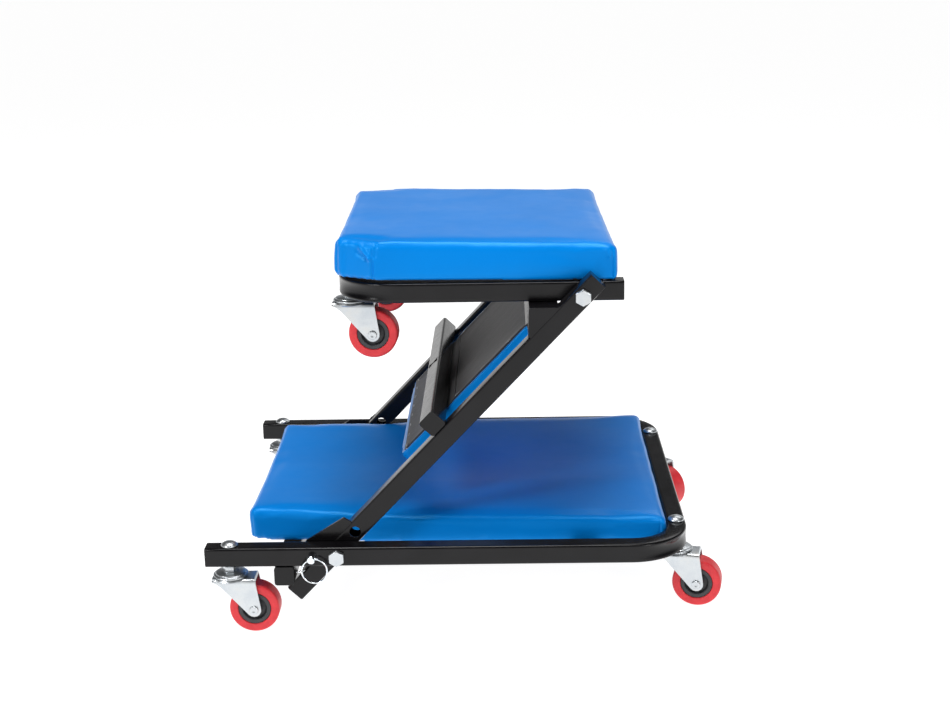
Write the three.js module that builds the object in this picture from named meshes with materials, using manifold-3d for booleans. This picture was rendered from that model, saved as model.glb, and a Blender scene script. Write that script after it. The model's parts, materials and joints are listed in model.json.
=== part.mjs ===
// Folding mechanics creeper, shown folded into its seat: a long padded lower frame on four
// casters, two sloping links with a padded middle panel, and a short padded top frame that
// carries its own two casters. All sizes in millimetres, +Z up, ground at z = 0.
import * as THREE from 'three';
import { mergeVertices } from 'three/addons/utils/BufferGeometryUtils.js';
import Module from 'manifold-3d';

const wasm = await Module();
wasm.setup();

// ---- driving dimensions -------------------------------------------------------------------
const GAP = 0.3; // clearance kept between touching pieces
const TUBE = 20; // outside of every square tube
const WALL = 1.5; // tube wall
const EDGE = 2.6; // outside corner radius of the tube
const BEND = 50; // centre-line radius of the frame bends

const LOWER_LENGTH = 492;
const LOWER_WIDTH = 420;
const CASTER_HEIGHT = 71; // ground to underside of a frame
const LOWER_Z = CASTER_HEIGHT + TUBE / 2; // height of the tube centre

const TOP_LEFT = 137; // bent end of the top frame
const TOP_RIGHT = 425; // open end of the top frame
const TOP_WIDTH = 328;

const PIVOT_X = 133.7; // lower fold pivot
const LINK_ANGLE = 46.3; // degrees above horizontal
const LINK_SPAN = 361; // between the two pivots
const LINK_TAIL = 68.5; // tube beyond the lower pivot
const LINK_HEAD = 21.6; // tube beyond the upper pivot
const LINK_OUTER_Y = 188.5; // outer face of the link
const PIN_OFFSET = 25.4; // lock pin hole from the lower pivot

const SHANK = 4; // radius of the M8 bolts
const PIN_SHANK = 3;
const FLAT_HOLE = 5.8; // radius of the link's hole for the pin when the object lies flat

const ORIGIN_X = 265.75; // middle of the whole object, from the left end of the lower frame

const TOP_Z = LOWER_Z + LINK_SPAN * Math.sin(THREE.MathUtils.degToRad(LINK_ANGLE));

// ---- materials ----------------------------------------------------------------------------
const COLOURS = {
  black_paint: { color: 0x16171a, roughness: 0.35, metalness: 0.3 },
  zinc: { color: 0xb9bec4, roughness: 0.35, metalness: 0.9 },
  blue_vinyl: { color: 0x0c62c4, roughness: 0.4, metalness: 0 },
  black_board: { color: 0x202022, roughness: 0.9, metalness: 0 },
  red_tyre: { color: 0xc01f2a, roughness: 0.45, metalness: 0 },
  dark_hub: { color: 0x2b2d31, roughness: 0.55, metalness: 0 },
};

const group = new THREE.Group();
group.name = 'mechanics_creeper';

// ---- solid helpers ------------------------------------------------------------------------
function toSolid(geometry) {
  const bare = geometry.index ? geometry.toNonIndexed() : geometry.clone();
  for (const name of Object.keys(bare.attributes)) {
    if (name !== 'position') bare.deleteAttribute(name);
  }
  const merged = mergeVertices(bare, 1e-3);
  const mesh = new wasm.Mesh({
    numProp: 3,
    vertProperties: new Float32Array(merged.attributes.position.array),
    triVerts: new Uint32Array(merged.index.array),
  });
  mesh.merge();
  return new wasm.Manifold(mesh);
}

function toGeometry(solid) {
  const mesh = solid.getMesh();
  const geometry = new THREE.BufferGeometry();
  geometry.setAttribute('position', new THREE.BufferAttribute(new Float32Array(mesh.vertProperties), 3));
  geometry.setIndex(new THREE.BufferAttribute(new Uint32Array(mesh.triVerts), 1));
  const faceted = geometry.toNonIndexed();
  faceted.computeVertexNormals();
  return faceted;
}

function boxSolid(x0, x1, y0, y1, z0, z1) {
  const box = new THREE.BoxGeometry(x1 - x0, y1 - y0, z1 - z0);
  box.translate((x0 + x1) / 2, (y0 + y1) / 2, (z0 + z1) / 2);
  return toSolid(box);
}

// Cylinder from `from` to `to` along the named axis, through the point (a, b) across it.
function rod(axis, radius, from, to, a = 0, b = 0, sides = 12) {
  const cylinder = new THREE.CylinderGeometry(radius, radius, to - from, sides);
  cylinder.translate(0, (from + to) / 2, 0);
  if (axis === 'z') {
    cylinder.rotateX(Math.PI / 2);
    cylinder.translate(a, b, 0);
  } else {
    cylinder.translate(a, 0, b);
  }
  return toSolid(cylinder);
}

// Prism of an outline in the X-Z plane, from y0 to y1.
function sidePrism(points, y0, y1) {
  const shape = new THREE.Shape(points.map(([x, z]) => new THREE.Vector2(x, z)));
  const prism = new THREE.ExtrudeGeometry(shape, { depth: y1 - y0, bevelEnabled: false });
  prism.rotateX(Math.PI / 2);
  prism.translate(0, y1, 0);
  return toSolid(prism);
}

function tubeSection(size, radius, steps = 2) {
  const half = size / 2 - radius;
  const points = [];
  [[1, 1, 0], [-1, 1, 90], [-1, -1, 180], [1, -1, 270]].forEach(([sx, sy, start]) => {
    for (let i = 0; i <= steps; i += 1) {
      const angle = THREE.MathUtils.degToRad(start + (90 * i) / steps);
      points.push([sx * half + radius * Math.cos(angle), sy * half + radius * Math.sin(angle)]);
    }
  });
  return points;
}

// Sweeps a section along stations in a horizontal plane; each station is [x, y, heading].
function sweep(stations, section) {
  const count = section.length;
  const positions = [];
  stations.forEach(([x, y, heading]) => {
    section.forEach(([across, up]) => {
      positions.push(x - across * Math.sin(heading), y + across * Math.cos(heading), up);
    });
  });
  const index = [];
  for (let s = 0; s + 1 < stations.length; s += 1) {
    for (let i = 0; i < count; i += 1) {
      const a = s * count + i;
      const b = s * count + ((i + 1) % count);
      index.push(a, b, a + count, b, b + count, a + count);
    }
  }
  const last = (stations.length - 1) * count;
  for (let i = 1; i + 1 < count; i += 1) {
    index.push(0, i + 1, i);
    index.push(last, last + i, last + i + 1);
  }
  const geometry = new THREE.BufferGeometry();
  geometry.setAttribute('position', new THREE.Float32BufferAttribute(positions, 3));
  geometry.setIndex(index);
  return toSolid(geometry);
}

// Hollow tube with welded end plates.
function hollowTube(stations, inset) {
  const outer = sweep(stations, tubeSection(TUBE, EDGE));
  const half = TUBE / 2 - WALL;
  const bore = sweep(inset, [[half, -half], [half, half], [-half, half], [-half, -half]]);
  return outer.subtract(bore);
}

function straightStations(x0, x1) {
  return [[x0, 0, 0], [x1, 0, 0]];
}

function straightTube(x0, x1) {
  return hollowTube(straightStations(x0, x1), straightStations(x0 + WALL, x1 - WALL));
}

// U-shaped stations: open ends at x = open, bent end at x = closed.
function uStations(open, closed, width, inset) {
  const way = Math.sign(closed - open);
  const side = (width - TUBE) / 2;
  const end = closed - way * (TUBE / 2);
  const bendX = end - way * BEND;
  const bendY = side - BEND;
  const arcSteps = 8;
  const start = open + way * inset;
  const stations = [[start, -side, way > 0 ? 0 : Math.PI]];
  for (let i = 0; i <= arcSteps; i += 1) {
    const turn = (Math.PI / 2) * (i / arcSteps);
    const x = bendX + way * BEND * Math.sin(turn);
    const y = -bendY - BEND * Math.cos(turn);
    stations.push([x, y, way > 0 ? turn : Math.PI - turn]);
  }
  for (let i = 0; i <= arcSteps; i += 1) {
    const turn = (Math.PI / 2) * (i / arcSteps);
    const x = bendX + way * BEND * Math.cos(turn);
    const y = bendY + BEND * Math.sin(turn);
    stations.push([x, y, way > 0 ? Math.PI / 2 + turn : Math.PI / 2 - turn]);
  }
  stations.push([start, side, way > 0 ? Math.PI : 0]);
  return stations;
}

function uFrame(open, closed, width, z) {
  const frame = hollowTube(uStations(open, closed, width, 0), uStations(open, closed, width, WALL));
  return frame.translate([0, 0, z]);
}

function add(name, solid, colour, parent = group) {
  const mesh = new THREE.Mesh(toGeometry(solid), new THREE.MeshStandardMaterial({ ...COLOURS[colour] }));
  mesh.name = name;
  mesh.material.name = colour;
  parent.add(mesh);
  return mesh;
}

function turned(profile, sides) {
  const lathe = new THREE.LatheGeometry(profile.map(([r, z]) => new THREE.Vector2(r, z)), sides);
  lathe.rotateX(Math.PI / 2);
  return toSolid(lathe);
}

// Hexagonal prism on the Z axis, `flats` across, with its upper corners turned off.
function hexagon(flats, z0, z1, chamferTop = true) {
  const radius = flats / Math.sqrt(3);
  const prism = new THREE.CylinderGeometry(radius, radius, z1 - z0, 6);
  prism.rotateX(Math.PI / 2);
  prism.translate(0, 0, (z0 + z1) / 2);
  if (!chamferTop) return toSolid(prism);
  const high = [[0, z0 - 1], [radius + 1, z0 - 1], [radius + 1, z1 - 1.2], [flats / 2 - 0.4, z1], [0, z1]];
  return toSolid(prism).intersect(turned(high, 18));
}

// ---- lower frame --------------------------------------------------------------------------
const NEAR = -1;
const FAR = 1;
const SIDES = [[NEAR, 'near'], [FAR, 'far']];

const LOWER_CASTER_X = 24;
const LOWER_CASTER_Y = (LOWER_WIDTH - TUBE) / 2;
const END_CASTER_X = LOWER_LENGTH - TUBE / 2;
const END_CASTER_Y = 144;
const TOP_CASTER_X = TOP_LEFT + TUBE / 2;
const TOP_CASTER_Y = 97.6;

const CROSS_X = 69.5; // left face of the cross tube under the lower frame
const PIN_X = PIVOT_X - PIN_OFFSET;

let lowerFrame = uFrame(0, LOWER_LENGTH, LOWER_WIDTH, LOWER_Z);
const boreZ = [LOWER_Z - TUBE, LOWER_Z + TUBE];
for (const [side] of SIDES) {
  lowerFrame = lowerFrame.subtract(
    rod('z', SHANK + GAP, ...boreZ, LOWER_CASTER_X, side * LOWER_CASTER_Y),
  );
  lowerFrame = lowerFrame.subtract(
    rod('z', SHANK + GAP, ...boreZ, END_CASTER_X, side * END_CASTER_Y),
  );
}
lowerFrame = lowerFrame
  .subtract(rod('y', SHANK + GAP, -LOWER_WIDTH, LOWER_WIDTH, PIVOT_X, LOWER_Z))
  .subtract(rod('y', PIN_SHANK + GAP, -LOWER_WIDTH, LOWER_WIDTH, PIN_X, LOWER_Z));
add('lower_frame', lowerFrame, 'black_paint');

// Straight tube lying across the object, its ends flush with the frame's outer faces.
const drain = rod('z', 2, -TUBE, TUBE, 0, 0, 12);
const crossTube = straightTube(-LOWER_WIDTH / 2, LOWER_WIDTH / 2)
  .subtract(drain)
  .rotate([0, 0, 90])
  .translate([CROSS_X + TUBE / 2, 0, LOWER_Z - TUBE - GAP]);
add('lower_cross_tube', crossTube, 'black_paint');

const STRAP = 3; // thickness of the flat straps that carry the boards
const strapY = LOWER_WIDTH / 2 - TUBE - GAP;
const STRAP_Z = LOWER_Z - TUBE / 2 + 0.5;
add('lower_strap', boxSolid(372, 400, -strapY, strapY, STRAP_Z, STRAP_Z + STRAP), 'black_paint');

// ---- padded panels ------------------------------------------------------------------------
// Outline of a panel with both left corners cut off and both right corners rounded.
function panelShape(x0, x1, halfLeft, halfCut, halfRight, cut, inset, corner) {
  const left = x0 + inset;
  const right = x1 - inset;
  const narrow = halfLeft - inset * 0.8;
  const shape = new THREE.Shape();
  shape.moveTo(left, -narrow);
  shape.lineTo(x0 + cut, -(halfCut - inset));
  shape.lineTo(right - corner, -(halfRight - inset));
  shape.quadraticCurveTo(right, -(halfRight - inset), right, -(halfRight - inset) + corner);
  shape.lineTo(right, halfRight - inset - corner);
  shape.quadraticCurveTo(right, halfRight - inset, right - corner, halfRight - inset);
  shape.lineTo(x0 + cut, halfCut - inset);
  shape.lineTo(left, narrow);
  shape.closePath();
  return shape;
}

function panel(shape, z0, z1, round) {
  const geometry = new THREE.ExtrudeGeometry(shape, {
    depth: z1 - z0 - 2 * round,
    bevelEnabled: round > 0,
    bevelThickness: round,
    bevelSize: round,
    bevelOffset: -round,
    bevelSegments: 3,
    curveSegments: 4,
  });
  return toSolid(geometry).translate([0, 0, z0 + round]);
}

const LOWER_PAD = [37, 468, 141, 156, 164, 180];
const COVER = 0.9; // room for the vinyl and backing cloth folded under a board
const BOARD_Z = STRAP_Z + STRAP + COVER;
const LOWER_BOARD = 8;
const LOWER_PAD_TOP = LOWER_Z + 24;
add('lower_board', panel(panelShape(...LOWER_PAD, 3, 8), BOARD_Z, BOARD_Z + LOWER_BOARD, 0), 'black_board');
add(
  'lower_cushion',
  panel(panelShape(...LOWER_PAD, 0, 10), BOARD_Z + LOWER_BOARD + GAP, LOWER_PAD_TOP, 6),
  'blue_vinyl',
);

// ---- middle section: links, crossbar, strap and panel, in link coordinates -----------------
// X runs up the link from the lower pivot, Z stands off its upper-left (back) face.
const linkGroup = new THREE.Group();
linkGroup.name = 'middle_section';
linkGroup.position.set(PIVOT_X, 0, LOWER_Z);
linkGroup.rotation.y = -THREE.MathUtils.degToRad(LINK_ANGLE);
group.add(linkGroup);

// Side-view point of the object turned into link coordinates.
function inLink(x, z) {
  const angle = THREE.MathUtils.degToRad(LINK_ANGLE);
  const dx = x - PIVOT_X;
  const dz = z - LOWER_Z;
  return [dx * Math.cos(angle) + dz * Math.sin(angle), -dx * Math.sin(angle) + dz * Math.cos(angle)];
}

const LINK_Y = LINK_OUTER_Y - TUBE / 2;
const LINK_INNER_Y = LINK_OUTER_Y - TUBE;
const PLATE = 3; // gusset and bracket sheet
const TOP_INNER_Y = TOP_WIDTH / 2 - TUBE;

function spanY(side, a, b) {
  return side > 0 ? [a, b] : [-b, -a];
}

// Plate that holds the lock pin's hole when the object is a seat; the far one is cut lower.
function lockGusset(side) {
  const outline = side < 0
    ? [[-31, 9], [30.6, 9], [30.6, 11.5], [28.9, 18.9], [-15, 30.5], [-31, 27]]
    : [[-31, 9], [13.5, 9], [-4.3, 27.6], [-15, 30.5], [-31, 27]];
  return sidePrism(outline, ...spanY(side, LINK_OUTER_Y - PLATE, LINK_OUTER_Y));
}

// Pocket bracket under the top frame: its level flange carries the frame when it is a seat,
// its sloping flange carries the frame's open end when everything lies flat.
function stopBracket(side) {
  const level = TOP_Z - TUBE / 2 - 0.4;
  const back = TUBE / 2 + GAP;
  const edge = 330.3; // upright edge of the bracket
  const foot = inLink(edge + 0.2, 299);
  const outer = [[foot[0], back], inLink(edge, level), inLink(358.9, level)];
  const inner = [[foot[0] + 12, back + PLATE], inLink(edge + PLATE, level - PLATE), inLink(354, level - PLATE)];
  const [y0, y1] = spanY(side, TOP_INNER_Y, LINK_OUTER_Y);
  const [p0, p1] = spanY(side, TOP_INNER_Y - 1, LINK_OUTER_Y - PLATE);
  const [w0, w1] = spanY(side, LINK_INNER_Y + 0.5, LINK_OUTER_Y);
  const weld = sidePrism([[foot[0] + 2, 9], [foot[0] + 46, 9], [foot[0] + 40, 12], [foot[0] + 3, 12]], w0, w1);
  return sidePrism(outer, y0, y1).subtract(sidePrism(inner, p0, p1)).add(weld);
}

for (const [side, label] of SIDES) {
  const tube = straightTube(-LINK_TAIL, LINK_SPAN + LINK_HEAD).translate([0, side * LINK_Y, 0]);
  const pinInGusset = inLink(PIN_X, LOWER_Z);
  const link = tube
    .add(lockGusset(side))
    .add(stopBracket(side))
    .subtract(rod('y', SHANK + GAP, -LOWER_WIDTH, LOWER_WIDTH, 0, 0))
    .subtract(rod('y', SHANK + GAP, -LOWER_WIDTH, LOWER_WIDTH, LINK_SPAN, 0))
    .subtract(rod('y', FLAT_HOLE, -LOWER_WIDTH, LOWER_WIDTH, PIN_OFFSET, 0, 20))
    .subtract(rod('y', PIN_SHANK + 1, -LOWER_WIDTH, LOWER_WIDTH, ...pinInGusset));
  add(`link_${label}`, link, 'black_paint', linkGroup);
}

const BAR_U = 164.8; // crossbar centre along the link
const BACK = TUBE / 2 + GAP;
const bowTie = [[1.5, -6.4], [14.5, -6.4], [9.3, 0], [14.5, 6.4], [1.5, 6.4], [6.7, 0]];
const keyhole = sidePrism(bowTie, 0, TUBE).rotate([90, 0, 0]);
const crossbar = straightTube(-LINK_OUTER_Y, LINK_OUTER_Y)
  .subtract(keyhole)
  .rotate([0, 0, 90])
  .translate([BAR_U, 0, BACK + TUBE / 2]);
add('mid_crossbar', crossbar, 'black_paint', linkGroup);

const bracketInner = TOP_INNER_Y - GAP;
add('mid_strap', boxSolid(294, 316, -bracketInner, bracketInner, BACK, BACK + STRAP), 'black_paint', linkGroup);

const MID_PAD = [101, 319, 132];
const MID_BOARD = [2, 9.9]; // front and back face of the board
const MID_FRONT = -20; // face of the cushion
function midShape(inset, corner) {
  const [u0, u1, half] = MID_PAD;
  return panelShape(u0, u1, half - 5, half, half, 9, inset, corner);
}
add('mid_board', panel(midShape(3, 6), ...MID_BOARD, 0), 'black_board', linkGroup);
add('mid_cushion', panel(midShape(0, 8), MID_FRONT, MID_BOARD[0] - GAP, 6), 'blue_vinyl', linkGroup);

// ---- top section --------------------------------------------------------------------------
const PIVOT2_X = PIVOT_X + LINK_SPAN * Math.cos(THREE.MathUtils.degToRad(LINK_ANGLE));

let topFrame = uFrame(TOP_RIGHT, TOP_LEFT, TOP_WIDTH, TOP_Z);
for (const [side] of SIDES) {
  topFrame = topFrame.subtract(
    rod('z', SHANK + GAP, TOP_Z - TUBE, TOP_Z + TUBE, TOP_CASTER_X, side * TOP_CASTER_Y),
  );
}
topFrame = topFrame.subtract(rod('y', SHANK + GAP, -TOP_WIDTH, TOP_WIDTH, PIVOT2_X, TOP_Z));
add('top_frame', topFrame, 'black_paint');

const topFace = TOP_Z + TUBE / 2;
const topStrapY = TOP_WIDTH / 2 - 3;
add('top_strap', boxSolid(380, 404, -topStrapY, topStrapY, topFace + GAP, topFace + STRAP), 'black_paint');

const TOP_PAD = [135, 415.5, 141, 161, 163.5, 40];
const TOP_BOARD = 6;
const TOP_BOARD_Z = topFace + STRAP + COVER;
const TOP_PAD_TOP = topFace + 37;
let topBoard = panel(panelShape(...TOP_PAD, 4, 8), TOP_BOARD_Z, TOP_BOARD_Z + TOP_BOARD, 0);
for (const [side] of SIDES) {
  const y = side * TOP_CASTER_Y;
  topBoard = topBoard.subtract(rod('z', 10, TOP_BOARD_Z - 1, TOP_BOARD_Z + TOP_BOARD + 1, TOP_CASTER_X, y));
}
add('top_board', topBoard, 'black_board');
add(
  'top_cushion',
  panel(panelShape(...TOP_PAD, 0, 10), TOP_BOARD_Z + TOP_BOARD + GAP, TOP_PAD_TOP, 6),
  'blue_vinyl',
);

// ---- pivot bolts and nuts -----------------------------------------------------------------
const HEX = 14.8; // across the flats of a pivot bolt's head
const HEAD = 5.3;
const NUT = 6.5;

// Bolt along Z with its head at the top; `grip` is the length between head and nut.
function pivotBolt(grip) {
  const shank = rod('z', SHANK, -grip - NUT - 2, 0.5, 0, 0, 16);
  return hexagon(HEX, 0, HEAD).add(shank);
}

function pivotNut(grip) {
  const hole = rod('z', SHANK + GAP, -grip - NUT - 1, -grip + 1, 0, 0, 16);
  return hexagon(HEX, -grip - NUT, -grip, false).subtract(hole);
}

// Outward along -Y on the near side, along +Y on the far side.
function placeOutward(mesh, side, x, y, z) {
  mesh.rotation.x = side < 0 ? Math.PI / 2 : -Math.PI / 2;
  mesh.position.set(x, y, z);
}

for (const [side, label] of SIDES) {
  const lowerSeat = LOWER_WIDTH / 2 + GAP;
  const lowerGrip = lowerSeat - LINK_INNER_Y + GAP;
  const upperSeat = LINK_OUTER_Y + GAP;
  const upperGrip = upperSeat - TOP_INNER_Y + GAP;
  const pieces = [
    [`lower_pivot_bolt_${label}`, pivotBolt(lowerGrip), PIVOT_X, lowerSeat, LOWER_Z],
    [`lower_pivot_nut_${label}`, pivotNut(lowerGrip), PIVOT_X, lowerSeat, LOWER_Z],
    [`upper_pivot_bolt_${label}`, pivotBolt(upperGrip), PIVOT2_X, upperSeat, TOP_Z],
    [`upper_pivot_nut_${label}`, pivotNut(upperGrip), PIVOT2_X, upperSeat, TOP_Z],
  ];
  for (const [name, solid, x, y, z] of pieces) {
    placeOutward(add(name, solid, 'zinc'), side, x, side * y, z);
  }
}

// ---- lock pins with their pull rings ------------------------------------------------------
const RING_RADIUS = 12.8; // centre line of the ring's wire
const WIRE = 1;
const RING_OUT = 5; // ring plane in front of the frame
const RING_LEAN = 13; // degrees the ring hangs away from straight down

function lockPin(side) {
  const stopShort = TUBE + 0.7;
  const profile = [
    [0, -stopShort],
    [PIN_SHANK - 0.8, -stopShort],
    [PIN_SHANK, -stopShort + 1.2],
    [PIN_SHANK, GAP],
    [4.4, GAP],
    [4.4, 7],
    [3.4, 8.4],
    [0, 8.8],
  ];
  const eye = new THREE.CylinderGeometry(2.2, 2.2, 12, 12);
  eye.rotateZ(Math.PI / 2 - side * THREE.MathUtils.degToRad(RING_LEAN));
  eye.translate(0, 0, RING_OUT);
  return turned(profile, 20).subtract(toSolid(eye));
}

// Ring in its own X-Z plane with the eye at the origin, and the wire's free end as a short tail.
function pullRing() {
  const ring = new THREE.TorusGeometry(RING_RADIUS, WIRE, 6, 26);
  ring.rotateX(Math.PI / 2);
  ring.translate(0, 0, -RING_RADIUS);
  const tail = new THREE.CylinderGeometry(0.5, WIRE, 7, 6);
  tail.rotateZ(THREE.MathUtils.degToRad(62));
  tail.translate(-RING_RADIUS - 1.6, 0, -RING_RADIUS + 5.4);
  return toSolid(ring).add(toSolid(tail));
}

for (const [side, label] of SIDES) {
  const face = (side * LOWER_WIDTH) / 2;
  const pin = add(`lock_pin_${label}`, lockPin(side), 'zinc');
  placeOutward(pin, side, PIN_X, face, LOWER_Z);
  const ring = add(`pull_ring_${label}`, pullRing(), 'zinc');
  ring.position.set(PIN_X, face + side * RING_OUT, LOWER_Z);
  ring.rotation.y = -THREE.MathUtils.degToRad(RING_LEAN);
}

// ---- casters ------------------------------------------------------------------------------
const TRAIL = 23.5; // axle behind the swivel
const WHEEL_R = 25.5;
const WHEEL_Y = 10; // half width of the tyre
const HUB_R = 16.5;
const SHEET = 2; // fork sheet
const FORK_Y = 13.6; // outer face of a fork leg
const FORK_TOP = 59;
const RACE_R = 18.5;
const AXLE_R = 3;

// Fastened part of the swivel: dome head on the tube, shank, nut, upper race and lower rivet.
function swivelBolt() {
  const tubeTop = CASTER_HEIGHT + TUBE + GAP;
  const profile = [
    [0, 52],
    [6.8, 52.4],
    [7.2, FORK_TOP - 3 - GAP],
    [SHANK, FORK_TOP - 3 - GAP],
    [SHANK, FORK_TOP + GAP],
    [RACE_R - 0.8, FORK_TOP + GAP],
    [RACE_R - 0.6, FORK_TOP + 2.6],
    [12.4, FORK_TOP + 4.4],
    [SHANK, FORK_TOP + 4.6],
    [SHANK, tubeTop],
    [8.6, tubeTop],
    [7.6, tubeTop + 2.4],
    [4.4, tubeTop + 4.1],
    [0, tubeTop + 4.6],
  ];
  return turned(profile, 20).add(hexagon(14, FORK_TOP + 4.2, CASTER_HEIGHT - GAP, false));
}

// Pressed fork: one sheet folded over the wheel, wide at the swivel and narrow at the axle.
function forkBody() {
  const bend = 5;
  const outline = new THREE.Shape();
  const inside = FORK_Y - SHEET;
  outline.moveTo(-FORK_Y, 10);
  outline.lineTo(-FORK_Y, FORK_TOP - bend);
  outline.quadraticCurveTo(-FORK_Y, FORK_TOP, -FORK_Y + bend, FORK_TOP);
  outline.lineTo(FORK_Y - bend, FORK_TOP);
  outline.quadraticCurveTo(FORK_Y, FORK_TOP, FORK_Y, FORK_TOP - bend);
  outline.lineTo(FORK_Y, 10);
  outline.lineTo(inside, 10);
  outline.lineTo(inside, FORK_TOP - bend);
  outline.quadraticCurveTo(inside, FORK_TOP - 3, inside - 3, FORK_TOP - 3);
  outline.lineTo(-inside + 3, FORK_TOP - 3);
  outline.quadraticCurveTo(-inside, FORK_TOP - 3, -inside, FORK_TOP - bend);
  outline.lineTo(-inside, 10);
  outline.closePath();
  const folded = new THREE.ExtrudeGeometry(outline, { depth: 70, bevelEnabled: false, curveSegments: 3 });
  folded.rotateX(Math.PI / 2);
  folded.rotateZ(Math.PI / 2);
  folded.translate(-30, 0, 0);

  const leg = [[-18, FORK_TOP + 1], [-18, FORK_TOP - 2.6], [-13, FORK_TOP - 5], [-8, FORK_TOP - 9]];
  const end = 7.4; // radius of the leg's round end
  for (let i = 0; i <= 6; i += 1) {
    const angle = THREE.MathUtils.degToRad(-140 + i * 24.5);
    leg.push([TRAIL + end * Math.cos(angle), WHEEL_R + end * Math.sin(angle)]);
  }
  leg.push([26.5, FORK_TOP - 4], [25, FORK_TOP + 1]);
  return toSolid(folded)
    .intersect(sidePrism(leg, -30, 30))
    .add(turned([[0, FORK_TOP - 3], [RACE_R - 1.5, FORK_TOP - 3], [RACE_R, FORK_TOP - 1.6],
      [RACE_R - 1.2, FORK_TOP], [0, FORK_TOP]], 20))
    .subtract(rod('z', SHANK + GAP, 40, 70, 0, 0, 12))
    .subtract(rod('y', AXLE_R + GAP, -30, 30, TRAIL, WHEEL_R, 12));
}

function tyreBody() {
  const profile = [
    [HUB_R + GAP, -WHEEL_Y],
    [WHEEL_R - 2, -WHEEL_Y],
    [WHEEL_R, -WHEEL_Y + 2.6],
    [WHEEL_R, WHEEL_Y - 2.6],
    [WHEEL_R - 2, WHEEL_Y],
    [HUB_R + GAP, WHEEL_Y],
    [HUB_R + GAP, -WHEEL_Y],
  ];
  return turned(profile, 36);
}

function hubBody() {
  const face = WHEEL_Y - 0.4;
  const dish = 5.5;
  const profile = [
    [AXLE_R + GAP, -WHEEL_Y - 0.8],
    [6.4, -WHEEL_Y - 0.8],
    [6.8, -dish],
    [11.6, -dish],
    [12.6, -face],
    [HUB_R, -face],
    [HUB_R, face],
    [12.6, face],
    [11.6, dish],
    [6.8, dish],
    [6.4, WHEEL_Y + 0.8],
    [AXLE_R + GAP, WHEEL_Y + 0.8],
    [AXLE_R + GAP, -WHEEL_Y - 0.8],
  ];
  return turned(profile, 20);
}

// Axle bolt with a low domed head on one leg and a riveted end on the other.
function axleBody() {
  const seat = FORK_Y + GAP;
  const profile = [
    [0, -seat - 2.2],
    [4.4, -seat - 1.3],
    [4.6, -seat],
    [AXLE_R, -seat],
    [AXLE_R, seat],
    [4.6, seat],
    [4.4, seat + 1.3],
    [0, seat + 2.2],
  ];
  return turned(profile, 14);
}

const solids = { fork: forkBody(), tyre: tyreBody(), hub: hubBody(), axle: axleBody(), bolt: swivelBolt() };
const TOP_DROP = TOP_Z - TUBE / 2 - CASTER_HEIGHT;
const CASTERS = [
  ['lower_left_near', LOWER_CASTER_X, NEAR * LOWER_CASTER_Y, 0, 0],
  ['lower_left_far', LOWER_CASTER_X, FAR * LOWER_CASTER_Y, 0, 5],
  ['lower_right_near', END_CASTER_X, NEAR * END_CASTER_Y, 0, -12],
  ['lower_right_far', END_CASTER_X, FAR * END_CASTER_Y, 0, -45],
  ['top_near', TOP_CASTER_X, NEAR * TOP_CASTER_Y, TOP_DROP, -3],
  ['top_far', TOP_CASTER_X, FAR * TOP_CASTER_Y, TOP_DROP, -6],
];

for (const [place, x, y, z, swing] of CASTERS) {
  const caster = new THREE.Group();
  caster.name = `caster_${place}`;
  caster.position.set(x, y, z);
  caster.rotation.z = THREE.MathUtils.degToRad(swing);
  group.add(caster);
  add(`swivel_bolt_${place}`, solids.bolt, 'zinc', caster);
  add(`fork_${place}`, solids.fork, 'zinc', caster);
  for (const [piece, colour] of [['tyre', 'red_tyre'], ['hub', 'dark_hub'], ['axle', 'zinc']]) {
    const mesh = add(`${piece}_${place}`, solids[piece], colour, caster);
    mesh.rotation.x = Math.PI / 2;
    mesh.position.set(TRAIL, 0, WHEEL_R);
  }
}

group.position.x = -ORIGIN_X;

export default group;
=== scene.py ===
"""Looks of the folding mechanics creeper: steel tube frames, three vinyl pads, six swivel casters."""
import json
import math
from collections import namedtuple

import bmesh
import bpy
import numpy as np
from mathutils import Matrix, Vector, noise

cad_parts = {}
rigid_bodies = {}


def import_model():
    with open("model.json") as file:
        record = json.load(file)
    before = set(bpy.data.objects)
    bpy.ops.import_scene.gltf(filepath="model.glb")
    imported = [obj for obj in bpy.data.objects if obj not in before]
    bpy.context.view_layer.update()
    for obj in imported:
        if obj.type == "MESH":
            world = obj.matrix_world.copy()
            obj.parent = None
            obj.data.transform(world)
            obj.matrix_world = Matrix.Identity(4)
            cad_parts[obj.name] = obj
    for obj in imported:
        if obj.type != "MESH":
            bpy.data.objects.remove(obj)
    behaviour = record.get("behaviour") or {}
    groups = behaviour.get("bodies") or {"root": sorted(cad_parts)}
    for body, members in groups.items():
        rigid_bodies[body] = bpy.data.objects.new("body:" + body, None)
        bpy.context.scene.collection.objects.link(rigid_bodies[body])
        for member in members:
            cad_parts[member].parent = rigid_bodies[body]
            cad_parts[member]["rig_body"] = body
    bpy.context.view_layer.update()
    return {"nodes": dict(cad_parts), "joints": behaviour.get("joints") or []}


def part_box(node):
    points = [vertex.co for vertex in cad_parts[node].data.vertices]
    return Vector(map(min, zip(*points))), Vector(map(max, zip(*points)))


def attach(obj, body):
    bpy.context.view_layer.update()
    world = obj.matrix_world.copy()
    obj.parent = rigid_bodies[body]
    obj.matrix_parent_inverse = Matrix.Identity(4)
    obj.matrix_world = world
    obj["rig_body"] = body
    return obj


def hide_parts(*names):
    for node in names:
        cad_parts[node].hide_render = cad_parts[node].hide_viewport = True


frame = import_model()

NODES = frame["nodes"]
JOINTS = {j["name"]: j for j in frame["joints"]}
MM = 0.001
SIDES = ("near", "far")
LOWER_CASTERS = ("lower_left_near", "lower_left_far", "lower_right_near", "lower_right_far")
TOP_CASTERS = ("top_near", "top_far")
CASTERS = LOWER_CASTERS + TOP_CASTERS
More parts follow.
